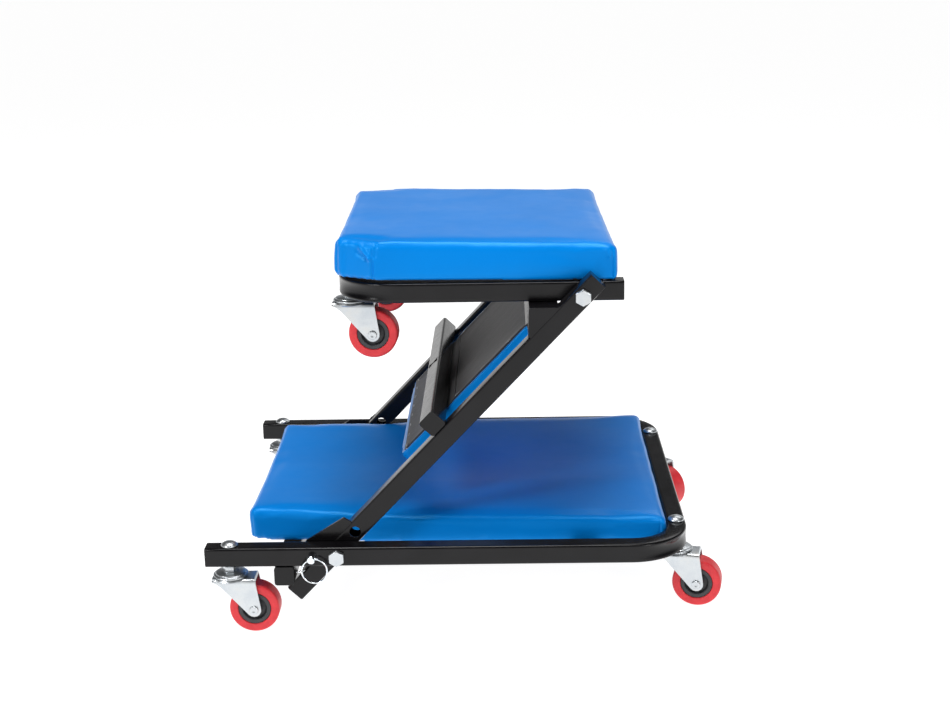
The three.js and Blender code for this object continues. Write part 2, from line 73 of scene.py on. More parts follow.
LINK_FOOT = Vector(JOINTS["lower_fold"]["pos_m"])
LINK_HEAD = Vector(JOINTS["upper_fold"]["pos_m"])
TUBE = 20 * MM           # side of the square tube
CORNER = 2.6 * MM        # outer radius of the tube's corners
BEND = 50 * MM           # radius of a frame's bends, at the middle of the tube
BACKING = 0.9 * MM       # room that a pad leaves for the cloth under it
WHEEL = 25.5             # tyre radius, in millimetres like the other turned profiles

scene = bpy.context.scene


# ---- camera, first ------------------------------------------------------------------------
def make_camera():
    """Looks along +Y and down at the near side, with a little yaw and roll."""
    place = (0.0418, -1.6471, 0.6963)
    pitch, yaw, roll = (math.radians(a) for a in (15.8, -1.21, -1.1))
    ahead = Vector((math.sin(yaw) * math.cos(pitch), math.cos(yaw) * math.cos(pitch), -math.sin(pitch)))
    level = Vector((math.cos(yaw), -math.sin(yaw), 0))
    above = level.cross(ahead)
    right = level * math.cos(roll) + above * math.sin(roll)
    up = above * math.cos(roll) - level * math.sin(roll)
    data = bpy.data.cameras.new("camera")
    data.sensor_width = 36
    data.lens = 58.38
    data.clip_end = 100
    cam = bpy.data.objects.new("camera", data)
    turn = Matrix((right, up, -ahead)).transposed().to_4x4()
    cam.matrix_world = Matrix.Translation(place) @ turn
    scene.collection.objects.link(cam)
    scene.camera = cam


make_camera()


# ---- light and floor ----------------------------------------------------------------------
def area_light(name, place, target, size, power):
    data = bpy.data.lights.new(name, "AREA")
    data.shape = "RECTANGLE"
    data.size, data.size_y = size
    data.energy = power
    lamp = bpy.data.objects.new(name, data)
    lamp.location = place
    lamp.rotation_euler = (Vector(target) - Vector(place)).to_track_quat("-Z", "Y").to_euler()
    scene.collection.objects.link(lamp)


def studio_world():
    """White backdrop that is bright near the horizon and dim overhead, where the lamps take over."""
    world = bpy.data.worlds.new("studio")
    world.use_nodes = True
    tree = world.node_tree
    back = tree.nodes["Background"]
    coords = tree.nodes.new("ShaderNodeTexCoord")
    split = tree.nodes.new("ShaderNodeSeparateXYZ")
    tree.links.new(coords.outputs["Generated"], split.inputs["Vector"])
    ramp = tree.nodes.new("ShaderNodeMapRange")
    ramp.interpolation_type = "SMOOTHSTEP"
    for key, value in (("From Min", 0.02), ("From Max", 0.33), ("To Min", 1.0), ("To Max", 0.04)):
        ramp.inputs[key].default_value = value
    tree.links.new(split.outputs["Z"], ramp.inputs["Value"])
    path = tree.nodes.new("ShaderNodeLightPath")
    strength = tree.nodes.new("ShaderNodeMath")
    strength.operation = "MAXIMUM"
    tree.links.new(path.outputs["Is Camera Ray"], strength.inputs[0])
    tree.links.new(ramp.outputs["Result"], strength.inputs[1])
    tree.links.new(strength.outputs["Value"], back.inputs["Strength"])
    back.inputs["Color"].default_value = (1, 1, 1, 1)
    scene.world = world


def make_floor():
    """Plain pale floor that glows a little, so that it meets the white backdrop without an edge."""
    mesh = bpy.data.meshes.new("floor")
    half = 30
    corners = [(-half, -half, 0), (half, -half, 0), (half, half, 0), (-half, half, 0)]
    mesh.from_pydata(corners, [], [(0, 1, 2, 3)])
    floor = bpy.data.objects.new("floor", mesh)
    mat = bpy.data.materials.new("pale_floor")
    mat.use_nodes = True
    bsdf = mat.node_tree.nodes["Principled BSDF"]
    bsdf.inputs["Base Color"].default_value = (0.36, 0.36, 0.36, 1)
    bsdf.inputs["Roughness"].default_value = 0.9
    bsdf.inputs["Specular IOR Level"].default_value = 0.05
    bsdf.inputs["Emission Color"].default_value = (1, 1, 1, 1)
    bsdf.inputs["Emission Strength"].default_value = 0.95
    mesh.materials.append(mat)
    scene.collection.objects.link(floor)


def make_studio():
    scene.view_settings.view_transform = "Standard"
    studio_world()
    area_light("overhead", (-0.1, -0.15, 2.1), (0, 0, 0.2), (1.1, 0.9), 31)
    area_light("front_left", (-1.5, -1.5, 1.5), (0, 0, 0.2), (0.55, 0.55), 20)
    area_light("front_right", (1.3, -1.7, 1.0), (0.05, 0, 0.15), (0.5, 0.5), 8)
    area_light("rear", (0.9, 1.6, 1.7), (0, 0, 0.25), (1.2, 0.8), 7)
    make_floor()


make_studio()


# ---- materials ----------------------------------------------------------------------------
class Surface:
    """A node material built on object coordinates, so that it rides with its piece."""

    def __init__(self, name, rough, metal=0.0, **uniform):
        self.mat = bpy.data.materials.new(name)
        self.mat.use_nodes = True
        self.tree = self.mat.node_tree
        self.bsdf = self.tree.nodes["Principled BSDF"]
        self.bsdf.inputs["Metallic"].default_value = metal
        self.bsdf.inputs["Roughness"].default_value = rough
        for key, value in uniform.items():
            self.bsdf.inputs[key.replace("_", " ")].default_value = value
        self.coords = self.node("ShaderNodeTexCoord").outputs["Object"]
        self.normal = None

    def node(self, kind, **values):
        made = self.tree.nodes.new(kind)
        for key, value in values.items():
            if key in made.inputs:
                made.inputs[key].default_value = value
            else:
                setattr(made, key, value)
        return made

    def link(self, out, to):
        self.tree.links.new(out, to)

    def noise(self, scale, detail=3.0):
        tex = self.node("ShaderNodeTexNoise", Scale=scale, Detail=detail)
        self.link(self.coords, tex.inputs["Vector"])
        return tex.outputs["Fac"]

    def cells(self, scale):
        tex = self.node("ShaderNodeTexVoronoi", Scale=scale)
        self.link(self.coords, tex.inputs["Vector"])
        return tex.outputs["Distance"]

    def ramp(self, fac, stops):
        made = self.node("ShaderNodeValToRGB")
        ramp = made.color_ramp
        while len(ramp.elements) < len(stops):
            ramp.elements.new(0.5)
        for element, (place, colour) in zip(ramp.elements, stops):
            element.position = place
            element.color = (*colour, 1)
        self.link(fac, made.inputs["Fac"])
        return made.outputs["Color"]

    def mix(self, fac, a, b):
        made = self.node("ShaderNodeMix", data_type="RGBA")
        for value, socket in ((fac, made.inputs[0]), (a, made.inputs[6]), (b, made.inputs[7])):
            if isinstance(value, (float, int)):
                socket.default_value = value
            elif isinstance(value, tuple):
                socket.default_value = (*value, 1)
            else:
                self.link(value, socket)
        return made.outputs[2]

    def colour(self, out):
        self.link(out, self.bsdf.inputs["Base Color"])

    def roughness(self, fac, low, high):
        """No range crosses 0.274: where one does, the denoised picture gets dark specks."""
        made = self.node("ShaderNodeMapRange")
        made.inputs["To Min"].default_value = low
        made.inputs["To Max"].default_value = high
        self.link(fac, made.inputs["Value"])
        self.link(made.outputs["Result"], self.bsdf.inputs["Roughness"])

    def edges(self, radius):
        """Rounds the look of hard edges by this many metres."""
        made = self.node("ShaderNodeBevel", samples=4)
        made.inputs["Radius"].default_value = radius
        self.normal = made.outputs["Normal"]

    def bump(self, height, strength, depth):
        made = self.node("ShaderNodeBump")
        made.inputs["Strength"].default_value = strength
        made.inputs["Distance"].default_value = depth
        self.link(height, made.inputs["Height"])
        if self.normal:
            self.link(self.normal, made.inputs["Normal"])
        self.normal = made.outputs["Normal"]

    def done(self):
        if self.normal:
            self.link(self.normal, self.bsdf.inputs["Normal"])
        return self.mat


def black_paint():
    s = Surface("black_powder_coat", 0.24, Specular_IOR_Level=0.3)
    s.colour(s.ramp(s.noise(35, 4), [(0.3, (0.003, 0.0027, 0.0033)), (0.7, (0.006, 0.0056, 0.0066))]))
    s.roughness(s.noise(90, 5), 0.16, 0.27)
    s.edges(0.0006)
    s.bump(s.noise(900, 2), 0.12, 0.0002)
    return s.done()


def zinc(name="zinc_plate", low=0.29, high=0.4, bright=1.0):
    """Blue-white plating; a higher bright makes it paler and less mottled, as on polished wire."""
    s = Surface(name, 0.3, 1.0)
    tints = ((0.3, (0.56, 0.60, 0.64)), (0.55, (0.64, 0.67, 0.69)), (0.8, (0.68, 0.675, 0.65)))
    tint = s.ramp(s.noise(60, 4), [(at, tuple(min(1.0, c * bright) for c in tone)) for at, tone in tints])
    mottle = s.ramp(s.noise(700, 2), [(0.35, (0.34, 0.36, 0.38)), (0.6, (0.7, 0.7, 0.7))])
    s.colour(s.mix(0.08 / bright ** 2, tint, mottle))
    s.roughness(s.noise(180, 5), low, high)
    s.edges(0.0003)
    s.bump(s.noise(1400, 2), 0.1, 0.0001)
    return s.done()


def vinyl():
    """Tinted gloss, a fine grain, and the wide shallow waves of a stretched cover."""
    s = Surface("blue_vinyl", 0.34, Specular_IOR_Level=0.55, Specular_Tint=(0.12, 0.62, 1.0, 1))
    base = s.ramp(s.noise(9, 4), [(0.25, (0.0, 0.195, 0.65)), (0.75, (0.0, 0.222, 0.72))])
    grain = s.noise(850, 2)
    s.colour(s.mix(0.06, base, s.ramp(grain, [(0.3, (0.0, 0.15, 0.52)), (0.6, (0.0, 0.24, 0.80))])))
    s.roughness(s.noise(60, 3), 0.29, 0.39)
    s.bump(s.noise(26, 1), 0.14, 0.0012)
    s.bump(grain, 0.05, 0.0001)
    return s.done()


def red_tread():
    s = Surface("red_polyurethane", 0.42, Specular_IOR_Level=0.4, Subsurface_Weight=0.06,
                Subsurface_Scale=0.002)
    s.colour(s.ramp(s.noise(110, 4), [(0.3, (0.64, 0.03, 0.042)), (0.7, (0.78, 0.042, 0.052))]))
    s.roughness(s.noise(300, 4), 0.34, 0.52)
    s.edges(0.0004)
    s.bump(s.noise(800, 3), 0.15, 0.00015)
    return s.done()


def dark_plastic():
    s = Surface("dark_hub_plastic", 0.5)
    s.colour(s.ramp(s.noise(200, 3), [(0.3, (0.028, 0.029, 0.032)), (0.7, (0.05, 0.051, 0.056))]))
    s.roughness(s.noise(400, 4), 0.4, 0.6)
    s.edges(0.0003)
    s.bump(s.cells(1500), 0.1, 0.0001)
    return s.done()


def backing_cloth():
    s = Surface("black_backing_cloth", 0.92, Sheen_Weight=0.35, Sheen_Roughness=0.5)
    dots = s.cells(620)
    weave = s.ramp(dots, [(0.1, (0.010, 0.010, 0.011)), (0.6, (0.024, 0.022, 0.025))])
    s.colour(s.mix(s.noise(70, 5), weave, (0.030, 0.028, 0.031)))
    s.roughness(s.noise(500, 3), 0.8, 1.0)
    s.bump(s.noise(45, 3), 0.35, 0.0015)
    s.bump(dots, 0.4, 0.0003)
    return s.done()


PAINT = black_paint()
ZINC = zinc()
WIRE = zinc("bright_wire", 0.15, 0.26, 1.4)
VINYL = vinyl()
TREAD = red_tread()
HUB = dark_plastic()
CLOTH = backing_cloth()


# ---- mesh helpers -------------------------------------------------------------------------
def make_object(name, mesh, material, body, replaced=()):
    mesh.materials.clear()
    mesh.materials.append(material)
    piece = bpy.data.objects.new(name, mesh)
    scene.collection.objects.link(piece)
    if body:
        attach(piece, body)
    if replaced:
        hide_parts(*replaced)
    return piece


def smooth_by_angle(mesh, degrees=35):
    mesh.polygons.foreach_set("use_smooth", [True] * len(mesh.polygons))
    mesh.set_sharp_from_angle(angle=math.radians(degrees))


def applied(piece):
    """Freezes a piece's modifiers into its mesh."""
    depsgraph = bpy.context.evaluated_depsgraph_get()
    depsgraph.update()
    mesh = bpy.data.meshes.new_from_object(piece.evaluated_get(depsgraph))
    old = piece.data
    piece.modifiers.clear()
    piece.data = mesh
    bpy.data.meshes.remove(old)
    return mesh


def to_mesh(bm, name):
    mesh = bpy.data.meshes.new(name)
    bmesh.ops.recalc_face_normals(bm, faces=bm.faces)
    bm.to_mesh(mesh)
    bm.free()
    return mesh


def ring_surface(rings):
    """bmesh skin over rings of points, closed at both ends; each ring has the same number of points."""
    bm = bmesh.new()
    rows = [[bm.verts.new(p) for p in ring] for ring in rings]
    for a, b in zip(rows, rows[1:]):
        count = len(a)
        for i in range(count):
            j = (i + 1) % count
            bm.faces.new((a[i], a[j], b[j], b[i]))
    bm.faces.new(rows[0])
    bm.faces.new(rows[-1])
    return bm


def circle(middle, a, b, count):
    """Points round an ellipse whose half axes are the vectors a and b."""
    turns = (2 * math.pi * k / count for k in range(count))
    return [middle + a * math.cos(t) + b * math.sin(t) for t in turns]


def add_skin(bm, rings):
    """Adds one more closed skin to a mesh that is being built."""
    part = to_mesh(ring_surface(rings), "part")
    bm.from_mesh(part)
    bpy.data.meshes.remove(part)


def lathe(name, profile, segments):
    """Solid of revolution on the Z axis; the profile is (radius, height) in millimetres."""
    bm = bmesh.new()
    rows = []
    for radius, height in profile:
        if radius < 1e-6:
            rows.append([bm.verts.new((0, 0, height * MM))])
            continue
        rows.append([
            bm.verts.new((radius * MM * math.cos(t), radius * MM * math.sin(t), height * MM))
            for t in (2 * math.pi * i / segments for i in range(segments))
        ])
    closed = profile[0][0] > 1e-6 and profile[0] == profile[-1]
    if closed:
        for vert in rows[-1]:
            bm.verts.remove(vert)
        rows[-1] = rows[0]
    for a, b in zip(rows, rows[1:]):
        for i in range(segments):
            j = (i + 1) % segments
            corner = [a[i % len(a)], a[j % len(a)], b[j % len(b)], b[i % len(b)]]
            seen = list(dict.fromkeys(corner))
            if len(seen) > 2:
                bm.faces.new(seen)
    mesh = to_mesh(bm, name)
    smooth_by_angle(mesh, 32)
    return mesh


def refined(node, name, bevel, material):
    """A CAD node's own shape with its flat faces rejoined and its hard edges rounded."""
    bm = bmesh.new()
    bm.from_mesh(NODES[node].data)
    bmesh.ops.remove_doubles(bm, verts=bm.verts, dist=1e-5)
    bmesh.ops.dissolve_limit(bm, angle_limit=math.radians(1.5), verts=bm.verts, edges=bm.edges)
    mesh = to_mesh(bm, name)
    piece = make_object(name, mesh, material, None)
    modifier = piece.modifiers.new("bevel", "BEVEL")
    modifier.width = bevel
    modifier.segments = 2
    modifier.limit_method = "ANGLE"
    modifier.angle_limit = math.radians(40)
    modifier.use_clamp_overlap = True
    weighted = piece.modifiers.new("weighted", "WEIGHTED_NORMAL")
    weighted.keep_sharp = True
    smooth_by_angle(mesh, 50)
    applied(piece)
    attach(piece, NODES[node]["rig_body"])
    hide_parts(node)
    return piece


def tube_section(half, radius, steps=5, between=9):
    """Rounded square as (across, up) points, with spare points along its sides."""
    inner = half - radius
    points = []
    corners = ((1, 1, 0), (-1, 1, 90), (-1, -1, 180), (1, -1, 270))
    for n, (sx, sy, start) in enumerate(corners):
        for i in range(steps + 1):
            t = math.radians(start + 90 * i / steps)
            points.append((sx * inner + radius * math.cos(t), sy * inner + radius * math.sin(t)))
        nx, ny, following = corners[(n + 1) % 4]
        t = math.radians(following)
        end = (nx * inner + radius * math.cos(t), ny * inner + radius * math.sin(t))
        last = points[-1]
        for i in range(1, between + 1):
            f = i / (between + 1)
            points.append((last[0] + (end[0] - last[0]) * f, last[1] + (end[1] - last[1]) * f))
    return points


def u_path(start, end, side):
    """Stations (x, y, turn, bent) along the middle of a U, from one open end round to the other."""
    straight, curve, cross = 24, 22, 13
    way = math.copysign(1, end - start)
    tangent = end - way * BEND
    angles = [math.pi / 2 * i / curve for i in range(curve + 1)]
    path = [(start + (tangent - start) * i / straight, -side, 0.0, 0.0) for i in range(straight + 1)]
    path += [(tangent + way * BEND * math.sin(t), BEND - side - BEND * math.cos(t), t, math.sin(2 * t))
             for t in angles[1:]]
    path += [(end, (side - BEND) * (2 * i / cross - 1), math.pi / 2, 0.0) for i in range(1, cross)]
    path += [(tangent + way * BEND * math.cos(t), side - BEND + BEND * math.sin(t), math.pi / 2 + t,
              math.sin(2 * t)) for t in angles]
    path += [(tangent + (start - tangent) * i / straight, side, math.pi, 0.0) for i in range(1, straight + 1)]
    return path


def bent_point(across, up, bent):
    """Where a point of the tube's section goes in a bend, as a bender leaves it."""
    dent, crease, bulge = 3 * MM * bent, 0.7 * MM * bent, 0.4 * MM * bent
    if across < -TUBE / 2 + 1e-4:        # outer wall, sunk in
        across += dent * max(0.0, 1 - (up / (7.8 * MM)) ** 2)
    if across > TUBE / 2 - 1e-4:         # inner wall, rippled
        across += crease * math.cos(260 * up) * max(0.0, 1 - (up / (8.5 * MM)) ** 2)
    if abs(abs(up) - TUBE / 2) < 1e-4:   # top and underside, swollen
        up += math.copysign(bulge * max(0.0, 1 - (across / (8.5 * MM)) ** 2), up)
    return across, up


def u_frame(node, body, open_left):
    """Square tube bent to a U, its open ends closed with slightly sunk plates."""
    lo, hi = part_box(node)
    way = 1 if open_left else -1
    start = lo.x if open_left else hi.x
    end = (hi.x if open_left else lo.x) - way * TUBE / 2
    path = u_path(start, end, (hi.y - lo.y) / 2 - TUBE / 2)
    z = (lo.z + hi.z) / 2
    section = tube_section(TUBE / 2, CORNER)

    def ring(station, scale=1.0, push=0.0):
        x, y, turn, bent = station
        heading = Vector((way * math.cos(turn), math.sin(turn), 0))
        inward = Vector((-way * math.sin(turn), math.cos(turn), 0))
        points = []
        for point in section:
            across, up = bent_point(*point, bent)
            points.append(Vector((x, y, z + up * scale)) + inward * across * scale + heading * push)
        return points

    end_rings = ((0.86, 0.5 * MM), (0.9, 0.1 * MM), (0.985, 0.0), (1.0, 0.6 * MM))
    rings = [ring(path[0], scale, push) for scale, push in end_rings]
    rings += [ring(station) for station in path[1:-1]]
    rings += [ring(path[-1], scale, -push) for scale, push in reversed(end_rings)]
    mesh = to_mesh(ring_surface(rings), node + "_tube")
    smooth_by_angle(mesh, 40)
    return make_object(node + "_tube", mesh, PAINT, body, [node])


# ---- hard pieces --------------------------------------------------------------------------
def steelwork():
    u_frame("lower_frame", "lower_section", True)
    u_frame("top_frame", "top_section", False)
    for node in ("lower_cross_tube", "lower_strap", "link_near", "link_far", "mid_crossbar", "mid_strap",
                 "top_strap"):
        refined(node, node + "_steel", 0.0005, PAINT)
    for side in SIDES:
        for place in ("lower", "upper"):
            refined(f"{place}_pivot_bolt_{side}", f"{place}_hex_bolt_{side}", 0.0004, ZINC)
            refined(f"{place}_pivot_nut_{side}", f"{place}_hex_nut_{side}", 0.0003, ZINC)
        refined(f"lock_pin_{side}", f"lock_pin_knob_{side}", 0.0003, WIRE)


def weld_beads():
    """Rippled beads where the gussets and brackets meet the links."""
    along = (LINK_HEAD - LINK_FOOT).normalized()
    off = Vector((-along.z, 0, along.x))
    across = Vector((0, 1, 0))
    surface, bead, count = 10.1 * MM, 1.3 * MM, 26
    gusset, bracket = (-26 * MM, 24 * MM, 184.1 * MM), (296 * MM, 332 * MM, 186.9 * MM)
    for side in SIDES:
        for n, (first, last, y) in enumerate((gusset, bracket)):
            start = LINK_FOOT + off * surface + across * (-y if side == "near" else y)
            rings = []
            for i in range(count + 1):
                f = i / count
                size = bead * (0.82 + 0.22 * math.sin(60 * f)) * min(1, 6 * f + 0.2, 6 * (1 - f) + 0.2)
                middle = start + along * (first + (last - first) * f)
                rings.append(circle(middle, off * size, across * size, 10))
            mesh = to_mesh(ring_surface(rings), f"weld_{side}_{n}")
            smooth_by_angle(mesh, 60)
            make_object(f"weld_bead_{side}_{n}", mesh, PAINT, NODES[f"link_{side}"]["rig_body"])


# ---- lock pin rings -----------------------------------------------------------------------
def split_ring(side):
    """Double-coiled key ring, one end sprung a little way out, with short points where it is pinched."""
    node = f"pull_ring_{side}"
    joint = JOINTS[f"pull_ring_swing_{side}"]
    eye = Vector(joint["pos_m"])
    along = Vector(joint["axis"]).normalized()
    if along.x < 0:
        along = -along
    down = Vector((along.z, 0, -along.x))
    out = Vector((0, -1 if side == "near" else 1, 0))
    radius, wire, pitch = 12.8 * MM, 0.86 * MM, 1.5 * MM
    centre = eye + down * radius
    first, turns, count = math.pi * 0.72, 1.72, 150
    rings = []
    for i in range(count + 1):
        f = i / count
        t = first + 2 * math.pi * turns * f
        radial = along * math.cos(t) - down * math.sin(t)
        sprung = 0.9 * MM * max(0.0, (f - 0.93) / 0.07) ** 1.5
        size = wire * min(1.0, 0.35 + 30 * min(f, 1 - f))
        middle = centre + radial * (radius + sprung) + out * (f - 0.5) * pitch
        rings.append(circle(middle, radial * size, out * size, 12))
    bm = ring_surface(rings)

    root = centre - along * (radius + 0.2 * MM) - down * 2.0 * MM + out * 0.4 * MM
    sizes = [wire * (1.15 - 0.21 * i) for i in range(6)]
    for over, below in ((-5.2, -1.4), (4.6, -1.2), (-0.4, 3.4)):
        tip = root + along * over * MM + down * below * MM
        thick = down if abs(over) > abs(below) else along
        add_skin(bm, [circle(root.lerp(tip, i / 5), out * size, thick * size, 10)
                      for i, size in enumerate(sizes)])
    mesh = to_mesh(bm, node + "_coil")
    smooth_by_angle(mesh, 70)
    make_object(node + "_coil", mesh, WIRE, node, [node])


# ---- casters ------------------------------------------------------------------------------
def tread_profile():
    """Rounded shoulders, a flat tread and a shallow step where the tyre grips the hub."""
    points = [(16.8, -9.2), (17.4, -9.9), (22.9, -10.0)]
    points += [(22.9 + 2.6 * math.sin(t), -7.4 - 2.6 * math.cos(t)) for t in (0.3, 0.7, 1.1, 1.4)]
    points += [(WHEEL, -6.6), (WHEEL, 6.6)]
    points += [(22.9 + 2.6 * math.sin(t), 7.4 + 2.6 * math.cos(t)) for t in (1.4, 1.1, 0.7, 0.3)]
    points += [(22.9, 10.0), (17.4, 9.9), (16.8, 9.2), (16.8, -9.2)]
    return points


def hub_profile():
    """A boss round the axle, a sunk web and a rim under the tyre, the same on both faces."""
    face = [(3.3, -10.8), (5.9, -10.8), (6.4, -10.3), (6.9, -6.2), (7.6, -5.6), (10.9, -5.6), (11.6, -6.3),
            (12.2, -9.0), (12.8, -9.6), (15.9, -9.6), (16.5, -9.2)]
    back = [(r, -z) for r, z in reversed(face)]
    return face + back + [face[0]]


def bolt_profile():
    """Dome head, shank, stacked races and the rivet that holds the fork."""
    rivet = [(0, 51.9), (6.2, 52.0), (6.9, 52.6), (7.0, 55.2), (4, 55.4), (4, 59.4)]
    races = [(16.9, 59.4), (17.6, 59.8), (17.9, 60.6), (17.4, 61.4), (16.2, 61.8), (15.6, 62.1), (15.2, 62.9),
             (13.6, 63.4), (9.6, 63.5), (8.2, 63.8)]
    shank = [(4, 64.0), (4, 91.3)]
    head = [(7.9, 91.3), (8.5, 91.7), (8.5, 92.3), (7.9, 93.3), (6.6, 94.3), (4.8, 95.2), (2.6, 95.75),
            (0, 95.9)]
    return rivet + races + shank + head


def axle_profile():
    """Axle pin with a domed and dimpled head at each end."""
    half = [(4.5, 13.9), (4.6, 14.7), (4.2, 15.3), (3.0, 15.7), (1.8, 15.5), (1.2, 15.1), (0, 15.0)]
    low = [(r, -z) for r, z in reversed(half)]
    return low + [(3, -13.9), (3, 13.9)] + half


def caster(place, shared):
    pos = Vector(JOINTS[f"swivel_{place}"]["pos_m"])
    axle = Vector(JOINTS[f"wheel_{place}"]["pos_m"])
    swing = math.atan2(axle.y - pos.y, axle.x - pos.x)
    stem = Matrix.Translation((pos.x, pos.y, axle.z - WHEEL * MM)) @ Matrix.Rotation(swing, 4, "Z")
    wheel = Matrix.Translation(axle) @ Matrix.Rotation(swing, 4, "Z") @ Matrix.Rotation(math.pi / 2, 4, "X")
    section = "lower_section" if place in LOWER_CASTERS else "top_section"
    fork_body, wheel_body = f"caster_fork_{place}", f"caster_wheel_{place}"
    rows = [
        ("swivel_bolt", "races", stem, section, ZINC, "zinc"),
        ("axle", "axle_bolt", wheel, fork_body, ZINC, "zinc"),
        ("tyre", "tread", wheel, wheel_body, TREAD, "red_tyre"),
        ("hub", "wheel_hub", wheel, wheel_body, HUB, "dark_hub"),
    ]
    for node, label, matrix, body, material, slot in rows:
        piece = bpy.data.objects.new(f"{label}_{place}", shared[node])
        if not shared[node].materials:
            shared[node].materials.append(material)
        scene.collection.objects.link(piece)
        piece.matrix_world = matrix
        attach(piece, body)
        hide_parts(f"{node}_{place}")
    refined(f"fork_{place}", f"pressed_fork_{place}", 0.00045, ZINC)


def swivel_bolt():
    """The turned parts of a caster's bolt, with its hexagon nut merged in."""
    races = lathe("swivel_races", bolt_profile(), 56)
    bm = bmesh.new()
    bm.from_mesh(races)
    bpy.data.meshes.remove(races)
    across_flats = 14 * MM
    wide = across_flats / math.sqrt(3)
    rings = []
    for radius, height in ((wide * 0.93, 63.5), (wide, 64.3), (wide, 69.9), (wide * 0.93, 70.7)):
        rings.append(circle(Vector((0, 0, height * MM)), Vector((radius, 0, 0)), Vector((0, radius, 0)), 6))
    add_skin(bm, rings)
    mesh = to_mesh(bm, "swivel_races")
    smooth_by_angle(mesh, 32)
    return mesh


# ---- pads ---------------------------------------------------------------------------------
# Ends in x, half widths at the left end, past the cut corner and at the right end, and the cut's length.
PadShape = namedtuple("PadShape", "x0 x1 left past_cut right cut")


def outline(shape, inset):
    """Pad outline, counter-clockwise from its near left corner, as (x, y)."""
    corner = 4 * MM
    a, b = shape.x0 + inset, shape.x1 - inset
    right = shape.right - inset
    near = [(a, -(shape.left - inset * 0.8)), (shape.x0 + shape.cut, -(shape.past_cut - inset)),
            (b - corner, -right), (b - corner * 0.3, -right + corner * 0.3), (b, -right + corner)]
    return near + [(x, -y) for x, y in reversed(near)]


def pad_block(name, points, z0, z1, top_round):
    """Closed block with rounded top edges, the shape that the simulation swells."""
    bm = bmesh.new()
    base = [bm.verts.new((x, y, z0)) for x, y in points]
    face = bm.faces.new(base)
    made = bmesh.ops.extrude_face_region(bm, geom=[face])["geom"]
    for vert in (g for g in made if isinstance(g, bmesh.types.BMVert)):
        vert.co.z = z1
    high = [e for e in bm.edges if all(abs(v.co.z - z1) < 1e-7 for v in e.verts)]
    bmesh.ops.bevel(bm, geom=high, offset=top_round, segments=3, affect="EDGES")
    return to_mesh(bm, name)


def swell(piece, voxel, pressure, cap, floor):
    """Even mesh on the block, inflated as tight cloth over foam and held at its stapled underside."""
    block = bpy.data.objects.new("block", piece.data.copy())
    scene.collection.objects.link(block)
    remesh = piece.modifiers.new("remesh", "REMESH")
    remesh.mode = "VOXEL"
    remesh.voxel_size = voxel
    wrap = piece.modifiers.new("wrap", "SHRINKWRAP")
    wrap.target = block
    applied(piece)
    leftover = block.data
    bpy.data.objects.remove(block)
    bpy.data.meshes.remove(leftover)
    rest = coordinates(piece.data)
    facing = coordinates(piece.data, "normal")
    held = piece.vertex_groups.new(name="stapled")
    held.add([int(i) for i in np.nonzero(rest[:, 2] < floor + voxel * 0.4)[0]], 1.0, "REPLACE")
    cloth = piece.modifiers.new("cloth", "CLOTH")
    settings = cloth.settings
    settings.quality = 5
    settings.mass = 0.35
    settings.tension_stiffness = 30
    settings.compression_stiffness = 20
    settings.shear_stiffness = 15
    settings.bending_stiffness = 1.5
    settings.use_pressure = True
    settings.uniform_pressure_force = pressure
    settings.vertex_group_mass = held.name
    settings.effector_weights.gravity = 0
    cloth.collision_settings.use_collision = False
    for number in range(1, 21):
        scene.frame_set(number)
    applied(piece)
    scene.frame_set(1)
    step = coordinates(piece.data) - rest
    # the foam keeps the cover from sinking in, so most of the inward movement is taken back
    inward = np.minimum(0, (step * facing).sum(axis=1, keepdims=True))
    step = evened(step - 0.7 * inward * facing, piece.data)
    length = np.linalg.norm(step, axis=1, keepdims=True)
    step *= np.minimum(1, cap / np.maximum(length, 1e-9))
    place_vertices(piece.data, rest + step)
    subdivide = piece.modifiers.new("fine", "SUBSURF")
    subdivide.levels = subdivide.render_levels = 1
    applied(piece)
    # the underside lies flat on its board
    points = coordinates(piece.data)
    points[points[:, 2] < floor + 1.2 * MM, 2] = floor
    place_vertices(piece.data, points)


def evened(step, mesh, rounds=5):
    """Averages a per-vertex movement with its neighbours', which takes out the simulation's jitter."""
    edges = np.zeros(len(mesh.edges) * 2, dtype=np.int64)
    mesh.edges.foreach_get("vertices", edges)
    a, b = edges.reshape(-1, 2).T
    degree = np.bincount(np.concatenate([a, b]), minlength=len(step))[:, None]
    for _ in range(rounds):
        total = np.zeros_like(step)
        np.add.at(total, a, step[b])
        np.add.at(total, b, step[a])
        step = 0.4 * step + 0.6 * total / np.maximum(degree, 1)
    return step


def coordinates(mesh, what="co"):
    values = np.zeros(len(mesh.vertices) * 3)
    mesh.vertices.foreach_get(what, values)
    return values.reshape(-1, 3)


def place_vertices(mesh, points):
    mesh.vertices.foreach_set("co", points.ravel())
    mesh.update()


def shaped(piece, rule):
    """Moves each vertex by rule(points, normals) -> offsets, all in pad coordinates."""
    points = coordinates(piece.data)
    place_vertices(piece.data, points + rule(points, coordinates(piece.data, "normal")))


def ripple(points, scale, seed):
    return np.array([noise.noise(Vector((x * scale, y * scale, z * scale + seed))) for x, y, z in points])


def bumpiness(distance, width):
    """Bell curve: 1 at no distance, nearly 0 at twice the width."""
    return np.exp(-(distance / width) ** 2)


def near_line(points, x, y):
    """Distance in plan from an upright edge on either side of the pad, less the cover's own swell."""
    return np.maximum(0, np.hypot(points[:, 0] - x, np.abs(points[:, 1]) - y) - 2.4 * MM)


